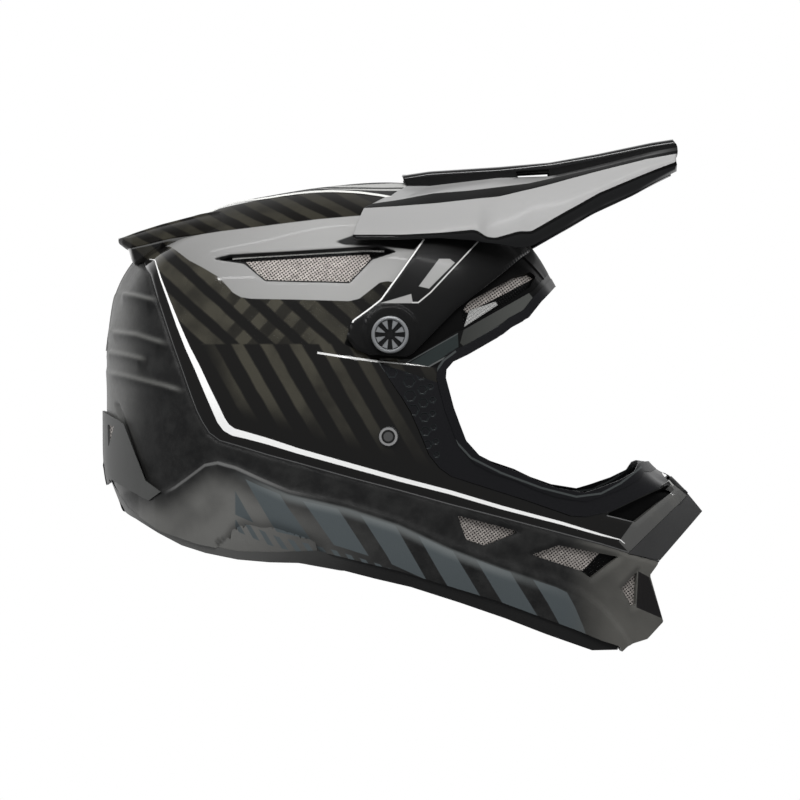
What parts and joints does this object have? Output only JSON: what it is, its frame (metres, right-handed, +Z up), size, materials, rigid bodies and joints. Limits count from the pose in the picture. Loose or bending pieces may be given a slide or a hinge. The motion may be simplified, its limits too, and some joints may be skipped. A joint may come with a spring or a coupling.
{
  "type": "full face helmet",
  "caption": "Full face downhill bike helmet with chin bar, tilting visor on side pivots, vents, foam liners, removable pads and a double-ring chin strap.",
  "frame": {"origin": "under the middle of the box round the helmet, level with the lowest point of the chin bar", "axes": "+X runs forward out of the face opening, +Y to the rider's left along the visor's pivot line, +Z up"},
  "size_m": [0.3635, 0.251, 0.306],
  "materials": {
    "shell_gloss": "glossy clear coat over grey and black",
    "panel_matte": "matte",
    "trim_rubber": "matte",
    "filter_foam": "open foam",
    "vent_mesh": "satin",
    "liner_foam": "moulded bead foam",
    "padding": "brushed knit",
    "snap_plastic": "matte",
    "visor_gloss": "glossy grey with black",
    "washer_plastic": "matte",
    "screw_metal": "anodised grey",
    "nut_metal": "turned",
    "rivet_metal": "satin",
    "anchor_steel": "satin",
    "webbing": "woven",
    "ring_steel": "satin"
  },
  "bodies": {
    "helmet": {"outer_shell": "shell_gloss", "eyeport_panel_right": "panel_matte", "eyeport_panel_left": "panel_matte", "brow_band": "panel_matte", "eyeport_trim": "trim_rubber", "base_trim": "trim_rubber", "mouth_guard": "panel_matte", "mouth_filter": "filter_foam", "rear_vent_cover": "panel_matte", "rear_vent_mesh_right": "vent_mesh", "rear_vent_mesh_left": "vent_mesh", "side_vent_mesh_right": "vent_mesh", "side_vent_mesh_left": "vent_mesh", "brow_vent_mesh_right": "vent_mesh", "brow_vent_mesh_left": "vent_mesh", "cheek_vent_mesh_right": "vent_mesh", "cheek_vent_mesh_left": "vent_mesh", "jaw_vent_mesh_right": "vent_mesh", "jaw_vent_mesh_left": "vent_mesh", "front_vent_mesh_right": "vent_mesh", "front_vent_mesh_left": "vent_mesh", "crown_liner": "liner_foam", "chin_bar_liner": "liner_foam", "neck_roll": "padding", "shell_snaps_right": "snap_plastic", "shell_snaps_left": "snap_plastic", "visor_washer_right": "washer_plastic", "visor_washer_left": "washer_plastic", "visor_nut_right": "nut_metal", "visor_nut_left": "nut_metal", "visor_top_nut": "nut_metal", "strap_rivet_right": "rivet_metal", "strap_rivet_left": "rivet_metal"},
    "visor": {"visor": "visor_gloss"},
    "visor_screw_right": {"visor_screw_right": "screw_metal"},
    "visor_screw_left": {"visor_screw_left": "screw_metal"},
    "visor_top_screw": {"visor_top_screw": "screw_metal"},
    "chin_strap": {"strap_right": "webbing", "strap_left": "webbing", "strap_anchor_right": "anchor_steel", "strap_anchor_left": "anchor_steel", "d_ring_lower": "ring_steel", "d_ring_upper": "ring_steel", "strap_snap": "snap_plastic"},
    "cheek_pad_right": {"cheek_pad_right": "padding", "pad_snaps_right": "snap_plastic"},
    "cheek_pad_left": {"cheek_pad_left": "padding", "pad_snaps_left": "snap_plastic"},
    "crown_pad": {"crown_pad": "padding"}
  },
  "joints": [
    {"name": "visor_tilt", "type": "hinge", "parent": "helmet", "child": "visor", "pos_m": [-0.00617, 0, 0.18788], "axis": [0, -1, 0], "range_deg": [0, 7]},
    {"name": "screw_right_turn", "type": "hinge", "parent": "helmet", "child": "visor_screw_right", "pos_m": [-0.00617, -0.1235, 0.18788], "axis": [0, -1, 0], "continuous": true},
    {"name": "screw_left_turn", "type": "hinge", "parent": "helmet", "child": "visor_screw_left", "pos_m": [-0.00617, 0.1235, 0.18788], "axis": [0, 1, 0], "continuous": true},
    {"name": "top_screw_turn", "type": "hinge", "parent": "helmet", "child": "visor_top_screw", "pos_m": [0.00727, 0, 0.28496], "axis": [0.1371, 0, 0.9906], "continuous": true},
    {"name": "chin_strap_swing", "type": "hinge", "parent": "helmet", "child": "chin_strap", "pos_m": [-0.0069, 0, 0.12791], "axis": [0, 1, 0], "range_deg": [-8, 8]},
    {"name": "cheek_pad_right_pull", "type": "slide", "parent": "helmet", "child": "cheek_pad_right", "axis": [0, 1, 0], "range_m": [0, 0.012]},
    {"name": "cheek_pad_left_pull", "type": "slide", "parent": "helmet", "child": "cheek_pad_left", "axis": [0, -1, 0], "range_m": [0, 0.012]},
    {"name": "crown_pad_pull", "type": "slide", "parent": "helmet", "child": "crown_pad", "axis": [0, 0, -1], "range_m": [0, 0.006]}
  ]
}
